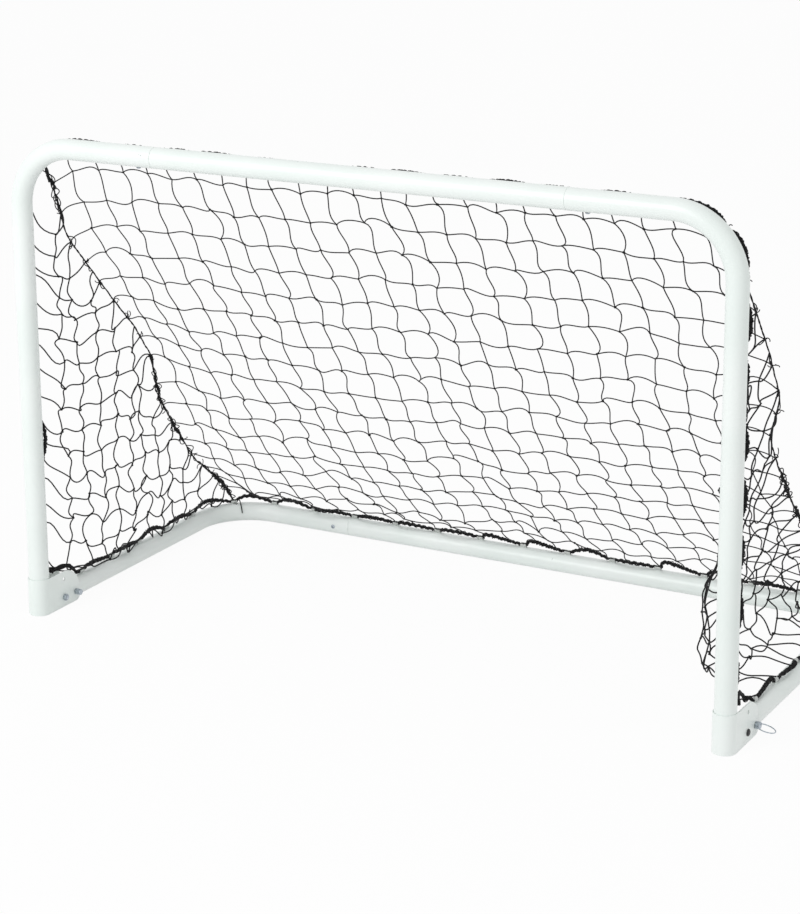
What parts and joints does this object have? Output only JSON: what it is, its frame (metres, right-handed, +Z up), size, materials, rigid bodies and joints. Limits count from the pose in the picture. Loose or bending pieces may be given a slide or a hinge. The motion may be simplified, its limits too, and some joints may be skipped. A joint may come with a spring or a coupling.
{
  "type": "folding soccer goal",
  "caption": "Folding goal of white steel tube: a front frame, a U-shaped base hinged in foot brackets with ring-pull lock pins, and a black knotted net laced to clips along the tubes.",
  "frame": {"origin": "on the ground, at the middle of the goal's footprint", "axes": "+X to the right of someone facing the mouth, +Y towards the back of the goal, +Z up; the mouth faces -Y"},
  "size_m": [1.4942, 0.7052, 0.914],
  "materials": {
    "white_powder_coat": "satin powder coat",
    "zinc_plate": "bright zinc plate",
    "black_plastic": "moulded",
    "white_nylon": "moulded",
    "black_cord": "laid cord",
    "black_net_twine": "knotted twine"
  },
  "bodies": {
    "front_frame": {"left_post": "white_powder_coat", "right_post": "white_powder_coat", "crossbar": "white_powder_coat", "left_crossbar_screw": "zinc_plate", "right_crossbar_screw": "zinc_plate", "left_foot_bracket": "white_powder_coat", "right_foot_bracket": "white_powder_coat", "left_foot_plug": "white_nylon", "right_foot_plug": "white_nylon", "left_pivot_bolt": "zinc_plate", "right_pivot_bolt": "zinc_plate", "left_pivot_nut": "zinc_plate", "right_pivot_nut": "zinc_plate", "left_pivot_cap": "black_plastic", "right_pivot_cap": "black_plastic", "left_pin_socket": "zinc_plate", "right_pin_socket": "zinc_plate", "front_lacing_cord": "black_cord", "left_seam_cord": "black_cord", "right_seam_cord": "black_cord", "back_net": "black_net_twine", "left_side_net": "black_net_twine", "right_side_net": "black_net_twine"},
    "base_frame": {"left_base_tube": "white_powder_coat", "right_base_tube": "white_powder_coat", "rear_bar": "white_powder_coat", "left_pivot_bush": "white_nylon", "right_pivot_bush": "white_nylon", "left_rear_bar_screw": "zinc_plate", "right_rear_bar_screw": "zinc_plate", "base_lacing_cord": "black_cord"},
    "left_lock_pin": {"left_lock_pin": "zinc_plate"},
    "right_lock_pin": {"right_lock_pin": "zinc_plate"},
    "left_pull_ring": {"left_pull_ring": "zinc_plate"},
    "right_pull_ring": {"right_pull_ring": "zinc_plate"}
  },
  "joints": [
    {"name": "base_fold", "type": "hinge", "parent": "front_frame", "child": "base_frame", "pos_m": [0, -0.28235, 0.019], "axis": [1, 0, 0], "range_deg": [0, 90], "deforming": ["back_net", "left_side_net", "right_side_net", "left_seam_cord", "right_seam_cord", "front_lacing_cord", "base_lacing_cord"]},
    {"name": "left_pin_pull", "type": "slide", "parent": "front_frame", "child": "left_lock_pin", "axis": [-1, 0, 0], "range_m": [0, 0.05]},
    {"name": "right_pin_pull", "type": "slide", "parent": "front_frame", "child": "right_lock_pin", "axis": [1, 0, 0], "range_m": [0, 0.05]},
    {"name": "left_ring_swing", "type": "hinge", "parent": "left_lock_pin", "child": "left_pull_ring", "pos_m": [-0.7169, -0.24635, 0.019], "axis": [0, -1, 0], "range_deg": [-100, 22]},
    {"name": "right_ring_swing", "type": "hinge", "parent": "right_lock_pin", "child": "right_pull_ring", "pos_m": [0.7169, -0.24635, 0.019], "axis": [0, 1, 0], "range_deg": [-100, 22]}
  ]
}
